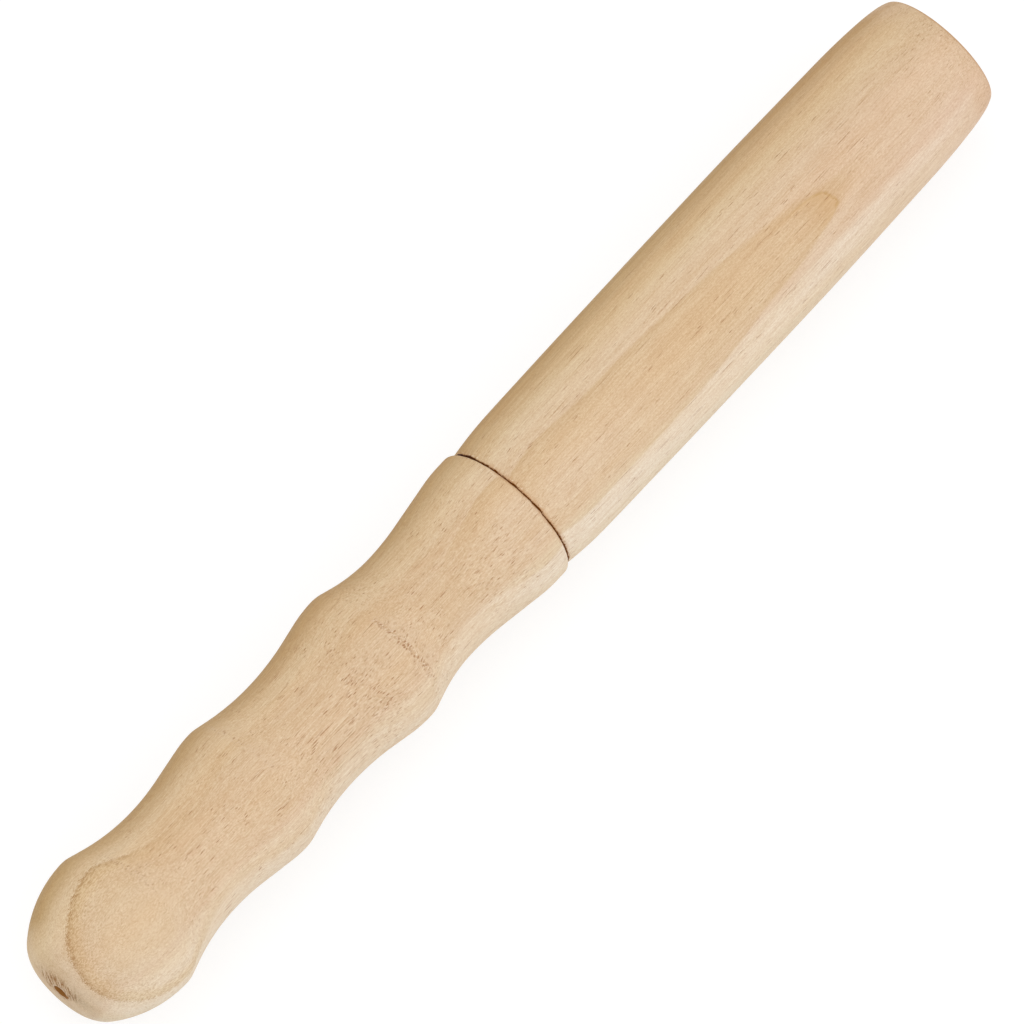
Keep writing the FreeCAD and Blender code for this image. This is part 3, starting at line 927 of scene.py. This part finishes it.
    def grain_strength(self):
        on_shoulder = self.on_head * self.x.ramp(
            self.joint_at, self.joint_at + self.grip.length / 4, 1.0, 0.0)
        strength = self.on_butt.ramp(0.0, 1.0, 1.0, self.wood.butt_grain, "LINEAR")
        for mask, whole, to_low, to_high in (
                (self.on_tip, 0.6, 1.0, self.wood.tip_grain), (self.on_head, 1.0, 1.15, 0.92),
                (self.rough, 1.0, 1.0, 1.45), (on_shoulder, 1.0, 1.0, 1.12)):
            strength = strength * mask.ramp(0.0, whole, to_low, to_high, "LINEAR")
        return strength

    def fine_grain(self, base):
        """Strands, short fibres, specks, ripples across the grain and vessel lines."""
        wood, specks, line = self.wood, self.specks, self.wood.ring_line
        strength = self.grain_strength()
        past_ring = self.rings - BUTT_RING
        crowded = past_ring.ramp(-line, line / 2, 0.45, 1.0) * past_ring.ramp(
            0.0, wood.speck_reach, 1.0, 0.25)
        dark_ring = abs(past_ring).ramp(line / 4, line, 1.0, 0.0) * self.on_butt * specks.ramp(
            0.35, 0.60, 0.3, 1.0) * self.side.ramp(0.3, 0.75, 1.0, 0.2)
        ripple = abs(self.ripples - 0.5).ramp(0.0, 0.035, 1.0, 0.0) * self.crowds.ramp(
            0.40, 0.62, 0.1, 0.8) * largest(self.on_head.ramp(0.0, 0.6, 1.0, 0.3), self.on_tip)
        base = tinted(
            base, (self.strands.ramp(0.28, 0.72, kind="LINEAR") * strength, STRAND_SHARES),
            (self.short.ramp(0.28, 0.72, kind="LINEAR"), FIBRE_SHARES),
            (self.on_butt * crowded * specks.ramp(0.42, 0.64), SPECK_SHARES),
            (dark_ring, RING_LINE_SHARES), (ripple, RIPPLE_SHARES))
        crowds = self.crowds + self.rough * 0.08
        pores = self.cells(wood.pore_length, wood.pore_width, wood.pore_share,
                           crowds.ramp(0.42, 0.64, 0.03, 0.50))
        veins = self.cells(wood.vein_length, wood.vein_width, wood.pore_share,
                           self.streaks.ramp(0.40, 0.60, 0.02, 0.38))
        strokes = self.cells(wood.rough_length, wood.rough_width, wood.stroke_share,
                             self.rough * 0.8) * 0.8
        pores = largest(pores, veins, strokes) * self.short.ramp(0.30, 0.55, 0.6, 1.0)
        return painted(base, (pores * strength * 0.85, self.finish.pore)), pores

    def scored_line(self, base):
        """Scorched line at the joint, with a brown halo that fades into the grip, and painted
        shade that darkens the line on the side away from the key lamp.
        """
        joint, finish, spot, aside = self.joint, self.finish, self.spot, self.aside
        half = joint.score_width / 2
        from_score = output(self.tree, "ShaderNodeAttribute", {"attribute_name": "from_score"},
                            "Fac")
        off_line = abs(from_score + (noise(spot, RAGGED_WAVES, 3.0, 0.7) - 0.5)
                       * joint.score_width)
        edge_on = aside.ramp(-self.grip.shoulder_diameter / 2, -joint.tenon_diameter / 2,
                             1.0, 0.0)
        burnt = noise(spot, BURNT_WAVES).ramp(0.35, 0.65, half * 0.50, half * 0.95) * (
            edge_on + aside.ramp(joint.rim_diameter * 0.42, joint.rim_diameter / 2, 1.0, 2.3))
        line = (off_line / burnt).ramp(0.5, 1.2, 1.0, 0.0)
        halo = off_line.ramp(half, half * 4.0, 0.4, 0.0) * noise(spot, HALO_WAVES).ramp(0.35, 0.6)
        chips = from_score.ramp(0.0, half) * from_score.ramp(
            half * 1.4, half * 2.4, 1.0, 0.0) * noise(spot, CHIP_WAVES).ramp(0.60, 0.68, 0.0, 0.6)
        flecks = off_line.ramp(half * 1.2, half * 1.8) * off_line.ramp(
            half * 2.2, half * 3.0, 1.0, 0.0) * noise(spot, FLECK_WAVES).ramp(
                0.34, 0.42, 0.5, 0.0)
        base = painted(base, (halo, finish.halo), (flecks, finish.lip),
                       (largest(line, chips), finish.scorch))
        # Painted shade: the line is darker still where it turns away, on the side away from the
        # key lamp.
        return tinted(base, (line * edge_on, LINE_SHADE_SHARES))

    def torn_lines(self, base):
        """Torn grain across the far side of each swell, plainest on the third, with pale flecks of
        painted highlight on the lips of its torn fibres.
        """
        wood, finish, width = self.wood, self.finish, self.wood.tear_width
        band = 0.0
        for where, middle, reach, strength in (
                (wood.tear_at, wood.tear_aside, wood.tear_reach, 1.0),
                (wood.faint_tear_2_at, wood.faint_tear_2_aside, wood.faint_tear_reach,
                 wood.faint_tear_share),
                (wood.faint_tear_1_at, wood.faint_tear_1_aside, wood.faint_tear_reach,
                 wood.faint_tear_share)):
            past = self.x - (self.aside * wood.tear_slope + (self.butt + where))
            band = largest(band, largest(
                abs(past).ramp(0.0, width, strength, 0.0),
                past.ramp(0.0, width, 0.0, strength * 0.4) * past.ramp(
                    width, width * 3, 1.0, 0.0)) * abs(self.aside - middle).ramp(
                        reach * 0.7, reach, 1.0, 0.0) * self.facing.ramp(0.0, width))
        torn = self.cells(wood.tear_length, wood.tear_gap, wood.tear_share, band * 1.4)
        torn = math_node("MULTIPLY", torn, 1.5, clamp=True) * math_node(
            "MULTIPLY", band, 1.6, clamp=True)
        base = tinted(base, (band * band * 0.5, TEAR_SHARES))
        # Painted highlight: pale flecks where the lips of the torn fibres would catch the light,
        # then the torn fibres themselves.
        return painted(base, (band * self.short.ramp(0.52, 0.62, 0.0, 0.7), finish.lip),
                       (torn * 0.75, finish.pore)), torn

    def rim(self, base):
        """Polished brown edge of the flat tip."""
        width = self.wood.rim_width
        edge = self.x.ramp(self.tip - width * 2, self.tip - width * 0.5) * self.radius.ramp(
            TIP_RADIUS - width * 2, TIP_RADIUS - width * 0.5)
        return painted(base, (edge * 0.7, self.finish.halo))

    def pit(self, base):
        """Bruised end grain round the pit, darker patches beside it, and the dark wall of the pit
        and its crack, whose dark brown stands partly for the shade inside them.
        """
        wood, finish, specks, aside = self.wood, self.finish, self.specks, self.aside
        mouth = self.grip.pit_diameter / 2
        at_end = self.x.ramp(self.butt + self.grip.wrinkle_reach * 0.7,
                             self.butt + self.grip.wrinkle_reach, 1.0, 0.0)
        fan = noise(vector(self.tree, self.off_axis.dot(BRUISE_WAY) / wood.bruise_length,
                           self.off_axis.dot(BRUISE_ACROSS) / wood.bruise_width, 0.0),
                    1.0, 2.0, 0.6)
        way = output(self.tree, "ShaderNodeVectorMath", {"operation": "NORMALIZE"},
                     in_0=self.off_axis).dot(BRUISE_WAY)
        far = self.radius / way.ramp(-0.7, 0.6, 0.4, 1.0)
        bruised = far.ramp(mouth, wood.bruise_reach, 1.0, 0.0) * at_end
        stain = math_node("MINIMUM", bruised * largest(
            fan.ramp(0.49, 0.57, 0.0, 1.3), 0.4) * specks.ramp(0.35, 0.55, 0.5, 1.2), 1.0)
        pale = bruised * fan.ramp(0.36, 0.47, 0.8, 0.0)
        # A darker grey streak out to the side of the pit, and a darker ring round its mouth.
        streak = abs(self.facing - mouth * 2).ramp(
            mouth * 0.5, mouth * 1.6, 0.28, 0.0) * aside.ramp(mouth * 0.5, mouth * 1.5)
        streak = streak * aside.ramp(
            wood.darker_patch_reach * 0.6, wood.darker_patch_reach, 1.0, 0.0) * specks.ramp(
                0.35, 0.6, 0.3, 1.0) * at_end
        darker_patch = self.radius.ramp(mouth, mouth * 2, 0.35, 0.0) * at_end
        lip = self.radius.ramp(mouth, mouth * 1.1) * self.radius.ramp(
            mouth * 1.12, mouth * 1.28, 0.55, 0.0) * at_end
        # Painted shade, in part: the pit's wall and the crack, which the mesh does not cut, are
        # painted dark brown.
        wall = self.radius.ramp(mouth * 0.95, mouth * 1.08, 1.0, 0.0)
        crack = abs(self.facing).ramp(
            wood.crack_width * 0.35, wood.crack_width / 2, 1.0, 0.0) * aside.ramp(
                mouth + wood.crack_length * 0.5, mouth + wood.crack_length, 1.0, 0.0)
        crack = crack * aside.ramp(0.0, mouth / 2)
        base = painted(base, (pale, finish.lip), (streak, finish.darker_patch))
        base = tinted(base, (largest(stain, darker_patch), finish.stain))
        return painted(base, (lip, finish.lip), (largest(wall, crack) * at_end, finish.pit))


def cleared(made):
    """Empty node tree of a new material or world."""
    made.use_nodes = True
    made.node_tree.nodes.clear()
    return made.node_tree


def wood_material(scene, name):
    """Pale close-grained hardwood, finely sanded and left bare."""
    made = bpy.data.materials.get(name)
    if made:
        return made
    made = bpy.data.materials.new(name)
    tree = cleared(made)
    billet = Billet(scene, tree)
    base, pores = billet.fine_grain(billet.flame_peak(billet.slow_tones()))
    base, torn = billet.torn_lines(billet.scored_line(base))
    base = billet.pit(billet.rim(base))
    height = billet.short * 0.4 + billet.ripples * 0.6 - largest(pores * 0.4, torn)
    bump = output(tree, "ShaderNodeBump", Strength=0.3, Height=height,
                  Distance=scene.mallet_wood.fibre_width / 5)
    roughness = billet.strands.ramp(0.2, 0.8, 0.48, 0.66, "LINEAR")
    shader = output(tree, "ShaderNodeBsdfPrincipled", Base_Color=base, Roughness=roughness,
                    Normal=bump, IOR=1.5, Specular_IOR_Level=0.12, Sheen_Weight=0.03,
                    Sheen_Roughness=0.5)
    node(tree, "ShaderNodeOutputMaterial", Surface=shader)
    return made


# How far a turned piece may lie outside its node.
FIT = 0.5 * MM


def box_match(piece, low, high):
    """Stops if a turned piece has drifted from its node in the frame."""
    for axis in range(3):
        values = [v.co[axis] for v in piece.data.vertices]
        if min(values) < low[axis] - FIT or max(values) > high[axis] + FIT:
            raise RuntimeError(f"{piece.name} leaves its place in the frame on axis {axis}")


class MALLET_OT_grip(bpy.types.Operator):
    """Turn the grip, with its finger swells, its centre pit and the socket for the head"""
    bl_idname = "mallet.grip"
    bl_label = "Turn Grip"

    def execute(self, context):
        scene = context.scene
        outline = grip_outline(scene.mallet_grip, scene.mallet_joint,
                               scene.mallet_finish.station_spacing)
        piece = turned_piece("turned_grip", placed(scene, outline),
                             turning_values(scene, wood_material(scene, "grip_hardwood")))
        box_match(piece, GRIP_LOW, GRIP_HIGH)
        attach(piece, "root")
        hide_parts("grip")
        return {"FINISHED"}


class MALLET_OT_head(bpy.types.Operator):
    """Turn the head, a barrel with a flat tip and the tenon that is glued into the grip"""
    bl_idname = "mallet.head"
    bl_label = "Turn Head"

    def execute(self, context):
        scene = context.scene
        outline = head_outline(scene.mallet_grip, scene.mallet_head, scene.mallet_joint,
                               scene.mallet_finish.station_spacing)
        piece = turned_piece("turned_head", placed(scene, outline),
                             turning_values(scene, wood_material(scene, "head_hardwood")))
        box_match(piece, HEAD_LOW, HEAD_HIGH)
        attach(piece, "root")
        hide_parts("head")
        return {"FINISHED"}


def lamp(name, where, width, power):
    """Square lamp that shines on the mallet's place."""
    light = bpy.data.lights.new(name, "AREA")
    light.shape = "SQUARE"
    light.size = width
    light.energy = power
    made = bpy.data.objects.new(name, light)
    made.location = where
    made.rotation_euler = (-Vector(where)).to_track_quat("-Z", "Y").to_euler()
    made.visible_camera = False
    bpy.context.collection.objects.link(made)


def seen_directly(tree):
    """1 for rays from the camera, a mirror or glass, which see the white studio."""
    path = fields(node(tree, "ShaderNodeLightPath"))
    return largest(path["Is Camera Ray"], path["Is Glossy Ray"], path["Is Transmission Ray"])


def table_material(stage):
    """White table top that keeps the mallet's soft shadow."""
    made = bpy.data.materials.new("white_table")
    tree = cleared(made)
    seen = seen_directly(tree)
    tone = seen.ramp(0.0, 1.0, stage.table_share, stage.table_seen_share, "LINEAR")
    paint = output(tree, "ShaderNodeBsdfDiffuse", Color=output(
        tree, "ShaderNodeCombineColor", Red=tone, Green=tone, Blue=tone))
    glow = output(tree, "ShaderNodeEmission", Color=(1, 1, 1, 1),
                  Strength=seen * stage.table_glow_share)
    node(tree, "ShaderNodeOutputMaterial",
         Surface=output(tree, "ShaderNodeAddShader", in_0=paint, in_1=glow))
    return made


class MALLET_OT_stage(bpy.types.Operator):
    """Set up the camera, the white table and the soft lamps"""
    bl_idname = "mallet.stage"
    bl_label = "Set Up Stage"

    def execute(self, context):
        scene = context.scene
        stage = scene.mallet_stage
        a, e = stage.azimuth, stage.elevation
        back = Vector((math.sin(a) * math.cos(e), -math.cos(a) * math.cos(e), math.sin(e)))
        lens = bpy.data.cameras.new("camera")
        lens.lens = stage.focal_length
        lens.sensor_width = stage.film_width
        camera = bpy.data.objects.new("camera", lens)
        distance = stage.view_width * lens.lens / lens.sensor_width
        camera.location = Vector(stage.target) + back * distance
        camera.rotation_euler = back.to_track_quat("Z", "Y").to_euler()
        lens.clip_end = stage.clip_end
        context.collection.objects.link(camera)
        scene.camera = camera
        scene.view_settings.view_transform = "Standard"

        half = stage.table_size / 2
        mesh = bpy.data.meshes.new("table")
        mesh.from_pydata([(-half, -half, 0), (half, -half, 0), (half, half, 0), (-half, half, 0)],
                         [], [(0, 1, 2, 3)])
        table = bpy.data.objects.new("table", mesh)
        context.collection.objects.link(table)
        mesh.materials.append(table_material(stage))

        lamp("key_lamp", stage.key_place, stage.key_size, stage.key_power)
        lamp("top_lamp", stage.top_place, stage.top_size, stage.top_power)
        world = bpy.data.worlds.new("studio")
        scene.world = world
        tree = cleared(world)
        way = parts(output(tree, "ShaderNodeTexCoord", None, "Generated"))[1]
        soft = way.ramp(-0.8, 0.9, stage.sky_front_share, stage.sky_back_share)
        shade = output(tree, "ShaderNodeBackground", Color=(1, 1, 1, 1),
                       Strength=largest(soft, seen_directly(tree)))
        node(tree, "ShaderNodeOutputWorld", Surface=shade)
        return {"FINISHED"}


class MALLET_PT_panel(bpy.types.Panel):
    """Sizes and steps of the mallet"""
    bl_label = "Singing Bowl Mallet"
    bl_idname = "MALLET_PT_panel"
    bl_space_type = "VIEW_3D"
    bl_region_type = "UI"
    bl_category = "Mallet"

    def draw(self, context):
        for operator in (MALLET_OT_grip, MALLET_OT_head, MALLET_OT_stage):
            self.layout.operator(operator.bl_idname)
        for name in GROUPS:
            group = getattr(context.scene, name)
            box = self.layout.box()
            for key in group.__annotations__:
                box.prop(group, key)


GROUPS = {"mallet_grip": MalletGrip, "mallet_joint": MalletJoint, "mallet_head": MalletHead,
          "mallet_finish": MalletFinish, "mallet_wood": MalletWood,
          "mallet_stage": MalletStage}
CLASSES = [*GROUPS.values(), MALLET_OT_grip, MALLET_OT_head, MALLET_OT_stage, MALLET_PT_panel]


def register():
    for made in CLASSES:
        bpy.utils.register_class(made)
    for name, group in GROUPS.items():
        setattr(bpy.types.Scene, name, bpy.props.PointerProperty(type=group))


def unregister():
    for name in GROUPS:
        delattr(bpy.types.Scene, name)
    for made in reversed(CLASSES):
        bpy.utils.unregister_class(made)


def main():
    register()
    bpy.ops.mallet.stage()
    bpy.ops.mallet.grip()
    bpy.ops.mallet.head()


if __name__ == "__main__":
    main()
